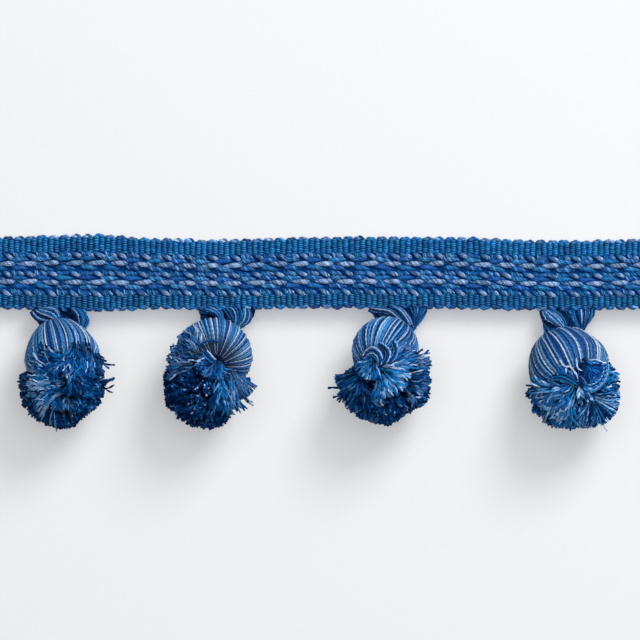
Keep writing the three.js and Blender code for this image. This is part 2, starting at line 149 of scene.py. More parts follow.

# Tassels, as in the solids: points are [across, out from the heading, up], from the middle of the loop at
# the heading's front edge. A taper is the share by which the head narrows towards its fold, a crown the
# share by which the fold is fuller, slim the share by which the head is narrower than it is deep, swirl
# how far its strands wind round it, and shade_from the share of their length from which they turn
# dark with painted shade towards the neck.
# The tones are of the head's and the ball's dyes. A cut is a way, in degrees from +X, in which the ball
# is trimmed straighter, and how far it reaches there
TASSELS = (
    dict(
        along=-78.3, head=(1.2, 13.6, 11.8), head_radius=11.4, neck=(3.3, 21.4, 17.2),
        swirl=0.25, taper=0.06, crown=0.45, slim=0.03, shade_from=0.69, head_tone=1.33, cut_tone=0.94,
        ball=(1.5, 22.5, 12.2), ball_radius=13.2, cuts=((-50, 11.6),), dye="dark", curls=(),
        lobes=(
            Bunch(((-4.5, -0.5), (-1.4, -1.0), (0.3, 0.3), (0.6, 2.5)),
                ((-8.4, 0.8), (-6.9, 3.0), (-4.4, 3.8), (-1.5, 4.2)), 15, "pale"),
            Bunch(((1.6, -0.5), (3.3, -0.3), (4.6, 1.0), (5.5, 2.8)),
                ((7.3, -0.3), (8.8, 1.6), (9.3, 3.8), (8.1, 6.0)), 14, "blue")),
        fans=(
            Fan((5.0, 21.1), (-22, 26), (8.5, 12.2), 3.6, 6, 0.28, "dark"),
            Fan((4.0, 18.5), (222, 268), (7.0, 12.2), 3.2, 72, 0.31, "mixed"),
            Fan((4.4, 17.4), (262, 335), (0.8, 8.6), 3.4, 72, 0.31, "dark"),
            Fan((6.5, 4.0), (250, 297), (4.4, 17.0), 3.8, 220, 0.31, "dark"),
            Fan((9.5, 13.2), (181, 206), (3.5, 15.0), 3.6, 110, 0.31, "dark", loose=1.2),
            Fan((12.0, 20.6), (168, 200), (9.4, 21.0), 6.4, 150, 0.31, "pale", bend=6, loose=1.3))),
    dict(
        along=-28.2, head=(-3.6, 13.4, 12.0), head_radius=11.6, neck=(-3.0, 16.1, 21.2),
        swirl=-0.35, taper=0.1, crown=0, slim=0, shade_from=0.58, head_tone=1.32, cut_tone=1.05,
        ball=(-5.6, 22.4, 12.4), ball_radius=13.2, cuts=((-30, 10.6),), dye="darkest",
        curls=(
            Bunch(((-7.6, 12.0), (-7.4, 10.6), (-6.4, 9.8), (-4.8, 9.2), (-3.4, 9.2), (-2.6, 9.4)),
                ((-7.5, 12.1), (-7.3, 10.7), (-6.3, 9.9), (-4.8, 9.3), (-3.4, 9.3), (-2.6, 9.5)), 2, "pale"),
            Bunch(((-6.8, 12.7), (-5.7, 14.1), (-4.1, 15.5)),
                ((-5.5, 12.1), (-4.4, 13.2), (-3.3, 14.5)), 3, "pale")),
        lobes=(
            Bunch(((-4.5, -1.2), (-2.8, -0.7), (-1.5, 0.5), (-0.8, 2.6)),
                ((-8.0, 0.5), (-6.1, 1.1), (-4.1, 1.3), (-2.3, 2.5)), 11, "pale"),
            Bunch(((-1.1, -0.7), (-0.1, 0.5), (0.9, 1.8), (2.2, 3.8)),
                ((1.2, -0.3), (3.5, -1.2), (4.7, 1.3), (3.4, 4.8)), 9, "blue"),
            Bunch(((5.2, -0.7), (5.2, 1.3), (4.9, 3.0), (3.9, 4.8)),
                ((7.2, -0.2), (7.7, 1.6), (7.2, 3.6), (4.9, 5.1)), 8, "pale")),
        fans=(
            Fan((-4.6, 16.8), (118, 190), (3.0, 13.2), 4.0, 156, 0.31, "grey"),
            Fan((-1.6, 15.0), (264, 298), (2.0, 17.0), 5.0, 108, 0.31, "mixed"),
            Fan((-2.4, 13.6), (196, 296), (0.8, 7.4), 4.6, 76, 0.31, "dark", loose=1.7),
            Fan((1.2, 17.0), (-80, -40), (0.5, 10.4), 8.6, 72, 0.26, "grey", loose=0.4))),
    dict(
        along=23.7, head=(-4.0, 12.8, 11.1), head_radius=10.7, neck=(-7.2, 17.2, 18.4),
        swirl=0.5, taper=-0.1, crown=0.42, slim=0.1, shade_from=0.69, head_tone=1.5, cut_tone=1.05,
        ball=(-4.2, 21.8, 12.4), ball_radius=13.6, cuts=((-58, 11.4), (-100, 12.4), (133, 10.2)), dye="dark",
        lobes=(
            Bunch(((-8.4, -0.7), (-4.7, -0.3), (-1.7, 0.5), (0.3, 2.6)),
                ((-9.2, 0.3), (-7.9, 1.1), (-5.9, 1.0), (-3.7, 1.5)), 8, "pale"),
            Bunch(((-2.4, -1.0), (-0.4, 0.0), (1.0, 1.6), (2.0, 3.1)),
                ((0.6, -0.8), (2.3, 1.0), (3.5, 2.6), (4.3, 4.3)), 8, "pale"),
            Bunch(((3.3, -0.8), (4.0, 0.8), (4.3, 2.5), (4.3, 3.8)),
                ((8.0, -0.3), (6.8, 1.3), (5.5, 2.8), (4.5, 4.1)), 9, "blue")),
        curls=(
            Bunch(((-2.1, 7.9), (-0.6, 10.1), (-0.2, 12.4), (-1.3, 14.6), (-3.2, 16.1)),
                ((-2.8, 9.6), (-1.7, 11.5), (-1.9, 13.3), (-3.2, 15.4)), 6, "curl"),
            Bunch(((-6.2, 9.2), (-4.0, 10.7), (-2.7, 12.4), (-2.8, 14.2), (-4.0, 16.1)),
                ((-6.6, 10.5), (-4.7, 11.8), (-4.0, 13.5), (-4.6, 15.4)), 6, "curl"),
            Bunch(((-11.3, 14.6), (-10.4, 12.5), (-8.5, 10.9), (-6.6, 11.6), (-5.3, 13.5), (-5.5, 15.9)),
                ((-10.4, 14.8), (-9.2, 13.9), (-8.1, 13.7), (-7.0, 14.6), (-6.6, 16.1)), 9, "curl")),
        fans=(
            Fan((-6.3, 17.2), (-42, 16), (9.0, 16.0), 3.4, 96, 0.31, "grey", loose=0.7),
            Fan((-11.0, 18.5), (226, 290), (2.0, 12.0), 4.0, 72, 0.33, "dark"),
            Fan((-11.1, 18.5), (188, 228), (0.5, 8.8), 5.6, 40, 0.37, "mixed", loose=0.6),
            Fan((-5.5, 16.5), (2, 38), (2.0, 11.2), 4.4, 72, 0.31, "grey", loose=0.7),
            Fan((-7.8, 14.4), (196, 292), (0.4, 6.8), 4.2, 52, 0.33, "mixed", loose=0.8),
            Fan((-6.3, 17.2), (-98, 14), (1.0, 10.2), 4.6, 108, 0.4, "light", loose=0.7))),
    dict(
        along=73.8, head=(0.2, 17.2, 12.2), head_radius=11.8, neck=(4.2, 24.2, 18.4),
        swirl=0.15, taper=-0.06, crown=0.5, slim=0, shade_from=0.69, head_tone=1.06, cut_tone=1.3,
        ball=(1.4, 22.6, 12.6), ball_radius=13.8, cuts=((-90, 13.0),), dye="mixed",
        lobes=(
            Bunch(((-5.3, 0.1), (-2.8, 0.8), (-1.1, 2.6), (0.2, 5.8)),
                ((-7.6, 0.5), (-7.0, 2.8), (-5.3, 4.0), (-2.3, 5.1)), 15, "pale"),
            Bunch(((-2.1, 0.1), (-0.1, 0.6), (1.0, 3.0), (2.2, 5.8)),
                ((1.9, 0.1), (2.4, 2.0), (3.0, 3.8), (3.9, 5.8)), 10, "blue"),
            Bunch(((3.4, 0.0), (3.7, 1.6), (4.0, 3.3), (4.4, 5.1)),
                ((7.7, -0.2), (7.4, 1.8), (6.5, 3.6), (5.4, 5.5)), 11, "pale")),
        curls=(
            Bunch(((10.0, 17.0), (9.8, 18.8), (8.8, 20.6), (7.0, 21.6), (5.5, 21.8)),
                ((12.5, 15.9), (11.9, 19.0), (10.7, 21.6), (8.6, 23.7), (6.6, 24.7)), 11, "pale"),
            Bunch(((-4.3, 19.4), (-2.4, 19.0), (-0.4, 19.6), (1.5, 21.0)),
                ((-5.5, 21.0), (-3.4, 20.6), (-1.0, 21.2), (1.1, 22.3)), 5, "blue"),
            Bunch(((-3.4, 13.3), (-2.6, 15.5), (-1.6, 16.9), (0.2, 17.0), (1.3, 18.2), (2.7, 20.6)),
                ((1.9, 12.2), (2.1, 14.7), (2.5, 17.4), (4.1, 18.4), (5.5, 19.4)), 2, "chalk")),
        fans=(
            Fan((2.7, 21.7), (180, 262), (0.5, 14.0), 3.6, 180, 0.31, "light"),
            Fan((1.0, 13.5), (-66, -24), (2.5, 10.5), 4.6, 60, 0.3, "darkest", loose=1.3),
            Fan((6.6, 26.2), (-58, -54), (5.0, 11.5), 6.0, 1, 0.24, "pale"),
            Fan((6.6, 26.2), (-125, 14), (1.2, 9.0), 6.5, 144, 0.28, "striped", loose=0.2),
            Fan((2.7, 21.7), (262, 330), (0.5, 5.0), 2.5, 40, 0.31, "pale"))),
)

# Heads: the profile is in shares of the head's length and radius, from the fold to the neck
HEAD_PROFILE = np.array([
    (0, 0.32), (0.06, 0.48), (0.2, 0.72), (0.36, 0.9), (0.52, 1),
    (0.66, 0.98), (0.82, 0.78), (0.93, 0.5), (1, 0.29),
])
FOLD_PROFILE = np.array([(0.07, 0.1), (0.01, 0.24)])  # where the yarns turn in over the loop
NECK_PROFILE = np.array([(0.99, 0.17), (0.93, 0.08)])  # where they turn in under the tie
HEAD_STRANDS = 98
HEAD_STEPS = 23
STRAND_LEVEL = 0.98  # of a strand's middle, as a share of the profile
STRAND_ROOM = 0.62  # a strand's radius, as a share of its pitch
STRAND_RADIUS = (0.16, 0.45)  # least and most
LINE_STEP = 4  # strands from one pale line of a head to the next
PALE_FROM = 0.08  # red of a dye, as linear light, from which a strand counts as pale,
PALE_RANGE = 0.25  # and over which it gets wholly so
PALE_PROUDER = 0.016  # a pale strand stands prouder,
PALE_THINNER = 0.3  # is thinner,
PALE_UNSHADED = 0.55  # and takes less of the painted shade near the neck
SHADE_RUN = 0.31  # share of a strand's length over which it turns dark, as painted shade near the neck
SHADE_TONE = 0.6  # of the navy that it turns to in that painted shade
CORE_DEPTH = 0.15  # of the dark core below the head's profile, which shows between the strands as painted shade

# Brush of cut yarns, trimmed to a ball
NECK_CLEAR = 3.6  # no tuft of the brush ends this near the neck
HEAD_CLEAR = 2.2  # nor this near the head
FLOOR_CLEAR = 0.35
LEAST_SLOPE = 0.01  # of a yarn that the floor or a cut can shorten
TUFTS = 260
TUFT_PULL = 0.3  # how far a yarn leans towards its tuft
POMPOM_STRANDS = 5300  # over the whole ball, before the head takes its share
BRUSH_REACH = 0.955  # share of the ball's radius
UNDER_FAN = 0.9  # share of its length that a yarn keeps under a fan
ROOT_SCATTER = 0.8
BRUSH_BEND = 0.35  # share of its length that leaves the root, or meets the tip, straight
BRUSH_PLACES = np.array([0.55, 0.8, 1.0])  # where along a yarn its rings are, with their radii and their painted shade: dark at the root deep in the ball, lighter at the tip
BRUSH_RADII = np.array([0.26, 0.34, 0.33])
BRUSH_PAINTED_SHADE = np.array([0.35, 0.7, 1.1])
FILLING_RADIUS = 7.4
FILLING_STEPS = 14
FILLING_ENDS = (0.04, 0.97)  # shares of a half wave, so that both ends are small
FILLING_BLUNT = 0.6
RIM = 0.96  # share of a ball's or a head's radius past which its upper face counts as level

# Fans on the ball
FAN_ASTRAY = (4, 7)  # spread of the yarns' directions in degrees: at their roots, and on the way
FAN_WAVE = 0.22
FAN_WAVELENGTH = 4.5
FAN_SUNK = -1.2  # height of a yarn's root over the ball,
FAN_RISE = 1.7  # how far it comes up from there,
FAN_HEAP = 0.8  # and how much higher it lies near the place that the fan spreads from
FAN_UP_BY = 0.6  # share of its length by which it is up,
FAN_UNSHADED_BY = 0.8  # and by which it is clear of its painted shade
FAN_PLY = 0.48  # from the middle of a yarn to that of a ply, as a share of the fan's thickness
FAN_RADIUS = 0.62  # of a ply, as such a share
FAN_OPEN = (0.8, 0.5)  # share of that distance at a yarn's root, and what is added towards its tip
FAN_TIP = 0.15  # share by which the tip is thinner
FAN_PAINTED_SHADE = (0.35, 0.75)  # painted shade: tone at a yarn's root, where it sinks into the ball, and what is added towards its tip

# Bunches
BUNCH_ON = 0.8  # share of its last stretch by which a route is carried on out of sight
LOBE_STEPS = 12
LOBE_SUNK = 0.7  # heights of a lobe's yarns over the heading's back: where they leave the weave,
LOBE_OVER = 2.1  # where they pass its front edge,
LOBE_RIDGE = 0.8  # and by how much more in the lobe's middle
LOBE_UP_BY = 0.3  # share of their length by which they are up
CURL_STEPS = 16
CURL_SUNK = -2.4  # heights of a curl's yarns over the ball and the head: at its ends,
CURL_OVER = 0.6  # in between,
CURL_RIDGE = 0.6  # and by how much more in the curl's middle

# Loops that carry the tassels, and ties
LOOP_SEWN = 3.2  # length under the heading
LEG_SPREAD = 4.4
LEG_DROP = 1.35  # below the heading's back
LEG_PAST_EDGE = 1.8
FOLD_DEPTH = 3.2
FOLD_TURN = 2.3
LOOP_STEPS = 64
LOOP_YARNS = 16
LEG_HALF = (3.7, 0.6)  # half of a leg's width and thickness, and the same in the fold
FOLD_HALF = (1.3, 1.1)
FOLD_BLEND = (0.2, 0.65)  # where a leg begins to turn into the fold, and over how much
BETWEEN_DEPTH = 2.5  # of the yarns between the legs, in the fold
TIE_RADIUS = 2.9
TIE_TURNS = 4
TIE_STEPS = 26  # for each turn
TIE_HEIGHT = 1.6

# Dyed yarns, as sRGB colours
NAVY = (2, 40, 88)
DEEP = (6, 70, 128)
MID = (20, 103, 161)
TEAL = (26, 121, 173)
BRIGHT = (6, 92, 170)
SLATE = (42, 104, 157)
MIST = (84, 132, 169)
STEEL = (78, 114, 156)
SKY = (106, 154, 196)
PALE = (148, 171, 204)
CHALK = (178, 189, 206)
# the woven ground's face: its own dark dye, darkened further as painted shade in the gaps between threads
SHADED_BACKING = (2, 62, 120)
YARN_DYES = {  # with the share of each dye
    "darkest": {NAVY: 0.42, DEEP: 0.36, MID: 0.12, STEEL: 0.06, PALE: 0.04},
    "dark": {NAVY: 0.22, DEEP: 0.38, MID: 0.2, TEAL: 0.06, STEEL: 0.1, PALE: 0.04},
    "mixed": {NAVY: 0.08, DEEP: 0.28, MID: 0.3, TEAL: 0.1, STEEL: 0.08, SKY: 0.1, PALE: 0.06},
    "grey": {NAVY: 0.08, DEEP: 0.26, MID: 0.18, STEEL: 0.38, PALE: 0.1},
    "pale": {NAVY: 0.04, DEEP: 0.1, MID: 0.16, TEAL: 0.12, SKY: 0.24, PALE: 0.34},
    "light": {DEEP: 0.06, MID: 0.3, TEAL: 0.14, STEEL: 0.2, SKY: 0.14, PALE: 0.16},
    "striped": {NAVY: 0.16, DEEP: 0.24, MID: 0.2, TEAL: 0.12, SKY: 0.12, PALE: 0.16},
}
HEAD_DYES = {DEEP: 0.16, SLATE: 0.42, MIST: 0.3, STEEL: 0.12}
LINE_DYES = {SKY: 0.15, CHALK: 0.85}
BUNCH_DYES = {  # yarns of a bunch, side by side
    "pale": (TEAL, DEEP, PALE, MID, NAVY, SKY, MID, DEEP, PALE, NAVY),
    "blue": (MID, NAVY, TEAL, DEEP, SKY, NAVY, MID, DEEP, TEAL),
    "curl": (MID, PALE, MIST, DEEP, NAVY, STEEL, PALE, NAVY, TEAL),
    "chalk": (CHALK, PALE),
}
LOOP_DYES = {NAVY: 0.2, DEEP: 0.4, MID: 0.3, TEAL: 0.1}
WARP_DYES = {MID: 0.5, TEAL: 0.5}
REAR_LOOP_DYES = {DEEP: 0.12, MID: 0.26, TEAL: 0.1, STEEL: 0.3, SKY: 0.16, PALE: 0.06}
FRONT_LOOP_DYES = {DEEP: 0.4, MID: 0.45, STEEL: 0.1, SKY: 0.05}
BLUE_DYES = {DEEP: 0.22, MID: 0.38, TEAL: 0.22, BRIGHT: 0.18}
ROYAL_DYES = {DEEP: 0.16, MID: 0.34, BRIGHT: 0.4, SKY: 0.1}
TEAL_DYES = {DEEP: 0.1, MID: 0.3, TEAL: 0.46, SKY: 0.14}
PALE_DYES = {STEEL: 0.3, SKY: 0.06, PALE: 0.64}
MIXED_DYES = {MID: 0.5, SKY: 0.3, PALE: 0.2}


def unit(vectors):
    return vectors / np.linalg.norm(vectors, axis=-1, keepdims=True)


def smooth(share):
    share = np.clip(share, 0, 1)
    return share * share * (3 - 2 * share)


def linear(colour):
    """An sRGB colour of 0 to 255 as linear light."""
    c = np.asarray(colour, float) / 255
    return np.where(c <= 0.04045, c / 12.92, ((c + 0.055) / 1.055) ** 2.4)


def dyed(dyes, count, uneven=0.14):
    """A colour for each of count yarns, drawn from dyes by their shares, each a little uneven."""
    weights = np.array(list(dyes.values()))
    chosen = rng.choice(len(dyes), count, p=weights / weights.sum())
    colours = np.array([linear(colour) for colour in dyes])[chosen]
    return colours * np.exp(rng.normal(0, uneven, (count, 1)))


def smooth_path(points, count):
    """count points evenly along a smooth curve through a few points."""
    points = np.asarray(points, float)
    padded = np.vstack([2 * points[0] - points[1], points, 2 * points[-1] - points[-2]])
    place = np.linspace(0, len(points) - 1, PATH_FINENESS * len(points))
    i = np.minimum(place.astype(int), len(points) - 2)
    t = (place - i)[:, None]
    a, b, c, d = (padded[i + k] for k in range(4))
    curve = b + 0.5 * t * (c - a + t * (2 * a - 5 * b + 4 * c - d + t * (3 * (b - c) + d - a)))
    run = np.concatenate([[0], np.cumsum(np.linalg.norm(np.diff(curve, axis=0), axis=1))])
    even = np.linspace(0, run[-1], count)
    return np.stack([np.interp(even, run, curve[:, k]) for k in range(points.shape[1])], axis=1)


def side_vectors(paths):
    """Two vectors square to each path at each point, carried along without twisting."""
    tangents = unit(np.gradient(paths, axis=1))
    steep = np.abs(tangents[:, :1, 2]) > STEEP
    seed = np.where(steep, ACROSS, UP)
    carried = [unit(np.cross(tangents[:, 0], seed))]
    for k in range(1, paths.shape[1]):
        last, tangent = carried[-1], tangents[:, k]
        carried.append(unit(last - (last * tangent).sum(1, keepdims=True) * tangent))
    a = np.stack(carried, axis=1)
    return a, np.cross(tangents, a)


def plied(paths, plies, wide, high, turns, phase=0.0):
    """Paths of the plies of yarns that follow paths: an oval bundle, turning as it goes."""
    count = paths.shape[1]
    tangents = unit(np.gradient(paths, axis=1))
    side = unit(np.cross(np.broadcast_to(UP, tangents.shape), tangents))
    over = np.cross(tangents, side)
    share = np.linspace(0, 1, count)
    made = []
    for k in range(plies):
        angle = 2 * np.pi * (k / plies + turns * share) + np.reshape(phase, (-1, 1))
        swing = (wide * np.cos(angle))[..., None] * side
        lift = (high * np.sin(angle))[..., None] * over
        made.append(paths + swing + lift)
    return np.stack(made, axis=1).reshape(-1, count, 3)


class Yarns:
    """Collects lofted yarns for one mesh, with a colour at each point and a map round and along each yarn."""

    def __init__(self, middle=None):
        self.middle = middle  # of a fluffy ball, whose shading follows the ball
        self.points, self.colours, self.corners, self.starts, self.maps = [], [], [], [], []
        self.point_count = 0
        self.corner_count = 0

    def loft(self, rings, colours):
        """Closed skins over rings of points, given as [yarn, ring, point in ring, xyz], with capped ends."""
        yarns, steps, sides, _ = rings.shape
        index = self.point_count + np.arange(yarns * steps * sides).reshape(yarns, steps, sides)
        beside = np.roll(index, -1, axis=2)
        quads = np.stack([index[:, :-1], beside[:, :-1], beside[:, 1:], index[:, 1:]], axis=-1)
        quads = quads.reshape(-1, 4)
        middles = rings.mean(axis=2)
        run = np.linalg.norm(np.diff(middles, axis=1), axis=2)
        run = np.concatenate([np.zeros((yarns, 1)), np.cumsum(run, axis=1)], axis=1)
        around = np.arange(sides) / sides
        shape = (yarns, steps - 1, sides)
        left = np.broadcast_to(around, shape)
        low, high = (np.broadcast_to(r[:, :, None], shape) for r in (run[:, :-1], run[:, 1:]))
        quad_map = np.stack(
            [np.stack([left, low], -1), np.stack([left + 1 / sides, low], -1),
             np.stack([left + 1 / sides, high], -1), np.stack([left, high], -1)], axis=3).reshape(-1, 2)
        self.add_faces(quads, quad_map)
        for ring, place in ((index[:, 0, ::-1], run[:, 0]), (index[:, -1], run[:, -1])):
            spots = [np.broadcast_to(around, ring.shape), np.broadcast_to(place[:, None], ring.shape)]
            self.add_faces(ring, np.stack(spots, -1).reshape(-1, 2))
        self.points.append(rings.reshape(-1, 3))
        colours = np.asarray(colours, float)
        while colours.ndim < 4:
            colours = colours[..., None, :]
        self.colours.append(np.broadcast_to(colours, rings.shape).reshape(-1, 3))
        self.point_count += rings[..., 0].size

    def add_faces(self, faces, face_map):
        count, corners = faces.shape
        self.starts.append(self.corner_count + corners * np.arange(count))
        self.corners.append(faces.ravel())
        self.maps.append(face_map)
        self.corner_count += faces.size

    def add(self, paths, radii, colours, sides=6, lobes=0.0, twist=0.0):
        """Round or two-lobed yarns along paths [yarn, step, xyz]. twist is in turns over the whole yarn."""
        yarns, steps, _ = paths.shape
        a, b = side_vectors(paths)
        radii = np.broadcast_to(radii, (yarns, steps))[..., None]
        start = rng.uniform(0, 2 * np.pi, (yarns, 1, 1))
        corner = 2 * np.pi * np.arange(sides) / sides
        angle = start + corner + 2 * np.pi * twist * np.linspace(0, 1, steps)[:, None]
        reach = radii * (1 + lobes * np.cos(2 * corner))
        rings = paths[:, :, None] + (reach * np.cos(angle))[..., None] * a[:, :, None]
        rings = rings + (reach * np.sin(angle))[..., None] * b[:, :, None]
        self.loft(rings, colours)

    def mesh(self, name):
        mesh = bpy.data.meshes.new(name)
        points = np.concatenate(self.points) * MM
        corners = np.concatenate(self.corners)
        starts = np.concatenate(self.starts)
        mesh.vertices.add(len(points))
        mesh.vertices.foreach_set("co", points.astype(np.float32).ravel())
        mesh.loops.add(len(corners))
        mesh.loops.foreach_set("vertex_index", corners.astype(np.int32))
        mesh.polygons.add(len(starts))
        mesh.polygons.foreach_set("loop_start", starts.astype(np.int32))
        mesh.uv_layers.new(name="yarn_map").uv.foreach_set(
            "vector", np.concatenate(self.maps).astype(np.float32).ravel())
        colour = mesh.attributes.new("dye", "FLOAT_COLOR", "POINT")
        rgba = np.concatenate([np.concatenate(self.colours), np.ones((len(points), 1))], axis=1)
        colour.data.foreach_set("color", rgba.astype(np.float32).ravel())
        if self.middle is not None:
            outward = unit(points - self.middle * MM).astype(np.float32)
            made = mesh.attributes.new("outward", "FLOAT_VECTOR", "POINT")
            made.data.foreach_set("vector", outward.ravel())
        mesh.update(calc_edges=True)
        mesh.validate()
        mesh.shade_smooth()
        return mesh


# Materials

YARN_PLIES = 2
FIBRES_PER_PLY = 4.0
FIBRE_STRETCH = 0.8  # less is longer
FIBRE_SCALE = 1.6
FIBRE_DETAIL = 3
PATCH_SCALE = 420  # of the dye's unevenness
PATCH_TONE = 0.3
MEAN_TONE = 0.9  # before that unevenness
MEAN_GROOVE = 0.64  # of the wave that makes the grooves
GROOVE_DEPTH = 0.1  # in millimetres


def node(tree, kind, **settings):
    made = tree.nodes.new(kind)
    for name, value in settings.items():
        setattr(made, name, value)
    return made


def calc(tree, operation, *values):
    """A Math node on numbers or other nodes' outputs, as an output."""
    made = node(tree, "ShaderNodeMath", operation=operation)
    for socket, value in zip(made.inputs, values):
        if isinstance(value, (int, float)):
            socket.default_value = value
        else:
            tree.links.new(value, socket)
    return made.outputs[0]


def new_material(name, inputs):
    """A material with these inputs of its shader, and the shader."""
    material = bpy.data.materials.new(name)
    material.use_nodes = True
    shader = material.node_tree.nodes["Principled BSDF"]
    for label, value in inputs.items():
        shader.inputs[label].default_value = value
    return material, shader


def yarn_material(name, twist_mm, roughness, shine, relief, groove_shade=0.35, grain=0.5, fluff=0.0):
    """Dyed yarn: fibres run along it, grooves between its plies wind round it, and its dye is uneven.

    groove_shade is how far painted shade darkens the grooves between its plies, grain how far the fibres
    change its tone, and fluff is the weight of the ball's own shading on yarns that stand in a soft ball.
    """
    material, shader = new_material(name, {"Roughness": roughness, "Specular IOR Level": shine})
    tree = material.node_tree
    link = tree.links.new
    dye = node(tree, "ShaderNodeAttribute", attribute_name="dye")
    place = node(tree, "ShaderNodeUVMap", uv_map="yarn_map")
    parts = node(tree, "ShaderNodeSeparateXYZ")
    link(place.outputs[0], parts.inputs[0])
    around, along = parts.outputs[0], parts.outputs[1]
    plies_round = calc(tree, "MULTIPLY", around, YARN_PLIES)
    winding = calc(tree, "ADD", plies_round, calc(tree, "DIVIDE", along, twist_mm))
    groove = calc(tree, "ABSOLUTE", calc(tree, "SINE", calc(tree, "MULTIPLY", winding, math.pi)))
    stretched = node(tree, "ShaderNodeCombineXYZ")
    link(calc(tree, "MULTIPLY", winding, FIBRES_PER_PLY), stretched.inputs[0])
    link(calc(tree, "MULTIPLY", along, FIBRE_STRETCH), stretched.inputs[1])
    fibres = node(tree, "ShaderNodeTexNoise")
    fibres.inputs["Scale"].default_value = FIBRE_SCALE
    fibres.inputs["Detail"].default_value = FIBRE_DETAIL
    link(stretched.outputs[0], fibres.inputs["Vector"])
    where = node(tree, "ShaderNodeTexCoord")
    uneven = node(tree, "ShaderNodeTexNoise")
    uneven.inputs["Scale"].default_value = PATCH_SCALE
    link(where.outputs["Object"], uneven.inputs["Vector"])
    # painted shade: the colour is darker in the grooves between the plies
    tone = calc(tree, "MULTIPLY_ADD", groove, groove_shade, MEAN_TONE - MEAN_GROOVE * groove_shade - grain / 2)
    tone = calc(tree, "MULTIPLY_ADD", fibres.outputs[0], grain, tone)
    tone = calc(tree, "MULTIPLY_ADD", uneven.outputs[0], PATCH_TONE, tone)
    tint = node(tree, "ShaderNodeVectorMath", operation="SCALE")
    link(dye.outputs["Color"], tint.inputs[0])
    link(tone, tint.inputs["Scale"])
    link(tint.outputs[0], shader.inputs["Base Color"])
    bump = node(tree, "ShaderNodeBump")
    bump.inputs["Strength"].default_value = relief
    bump.inputs["Distance"].default_value = GROOVE_DEPTH * MM
    link(calc(tree, "ADD", groove, fibres.outputs[0]), bump.inputs["Height"])
    link(bump.outputs[0], shader.inputs["Normal"])
    if fluff:
        soften(tree, bump, fluff)
    return material


def soften(tree, bump, fluff):
    """Turns the shading of yarns towards that of the whole ball."""
    link = tree.links.new
    outward = node(tree, "ShaderNodeAttribute", attribute_name="outward")
    facing = node(tree, "ShaderNodeNewGeometry")
    softened = node(tree, "ShaderNodeVectorMath", operation="MULTIPLY_ADD")
    softened.inputs[1].default_value = (fluff, fluff, fluff)
    link(outward.outputs["Vector"], softened.inputs[0])
    link(facing.outputs["Normal"], softened.inputs[2])
    even = node(tree, "ShaderNodeVectorMath", operation="NORMALIZE")
    link(softened.outputs[0], even.inputs[0])
    link(even.outputs[0], bump.inputs["Normal"])


def floor_material():
    # painted light: the floor glows, which lightens the shadows cast on it
    material, _ = new_material("glowing_pale_floor", {
        "Roughness": 0.9,
        "Specular IOR Level": 0.1,
        "Base Color": (0.46, 0.463, 0.466, 1),
        "Emission Color": (1, 1, 1, 1),
        "Emission Strength": 0.35,
    })
    return material


def piece(name, yarns, material, slot, *replaced):
    """One mesh of yarns as a piece of the object."""
    made = bpy.data.objects.new(name, yarns.mesh(name))
    made.data.materials.append(material)
    bpy.context.scene.collection.objects.link(made)
    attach(made, "root")
    if replaced:
        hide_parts(*replaced)
    return made


# Heading


def back_height(across):
    """Height of the heading's back: level, then bent up to the front slope."""
    past = np.maximum(across - REST_STRIP, 0)
    bent = np.minimum(past, BEND_WIDTH)
    return FRONT_SLOPE * bent**2 / (2 * BEND_WIDTH) + FRONT_SLOPE * (past - bent)


def sway(along, edge):
    """How far an edge wanders, at places along the heading."""
    i = np.clip(np.searchsorted(SWAY_ALONG, along) - 1, 0, len(SWAY_ALONG) - 2)
    share = smooth((along - SWAY_ALONG[i]) / (SWAY_ALONG[i + 1] - SWAY_ALONG[i]))
    return edge[i] + share * (edge[i + 1] - edge[i])


def on_heading(along, across, raised):
    """Points over the heading's back."""
    along = np.clip(along, -LENGTH / 2, LENGTH / 2)
    along, across, raised = np.broadcast_arrays(along, across, raised)
    rear, front = sway(along, SWAY_REAR), sway(along, SWAY_FRONT)
    y = REAR_Y - across + rear + (front - rear) * across / WIDTH
    return np.stack([along, y, back_height(across) + raised], axis=-1)


def rib_crest(along):
    """1 on the middle of a rib, 0 between two."""
    return 0.5 - 0.5 * np.cos(2 * np.pi * (along + LENGTH / 2) / RIB_PITCH)


def ground_yarns():
    """The woven ground under the yarns that show, as one closed band."""
    across = GROUND_ACROSS
    along = np.linspace(-LENGTH / 2, LENGTH / 2, 2 * RIBS + 1)[:, None]
    ribbed = (across < REAR_BORDER[1]) | (across > FRONT_BORDER[0])
    thinner = EDGE_THINNER * (np.minimum(across, WIDTH - across) < EDGE_WIDTH)
    crest = rib_crest(along)
    face = on_heading(along, across, np.where(ribbed, RIB_FOOT + RIB_RISE * crest, CENTRE_RISE) - thinner)
    back = on_heading(along, across[::-1], BACK_LIFT + BACK_RELIEF * (1 - crest) + thinner[::-1])
    yarns = Yarns()
    # the face, which shows only in the gaps between threads, is darker than the hidden back: partly the
    # ground's dye, partly painted shade
    dyes = np.repeat([linear(SHADED_BACKING), linear(MID)], len(across), axis=0)
    yarns.loft(np.concatenate([face, back], axis=1)[None], dyes[None, None])
    return yarns


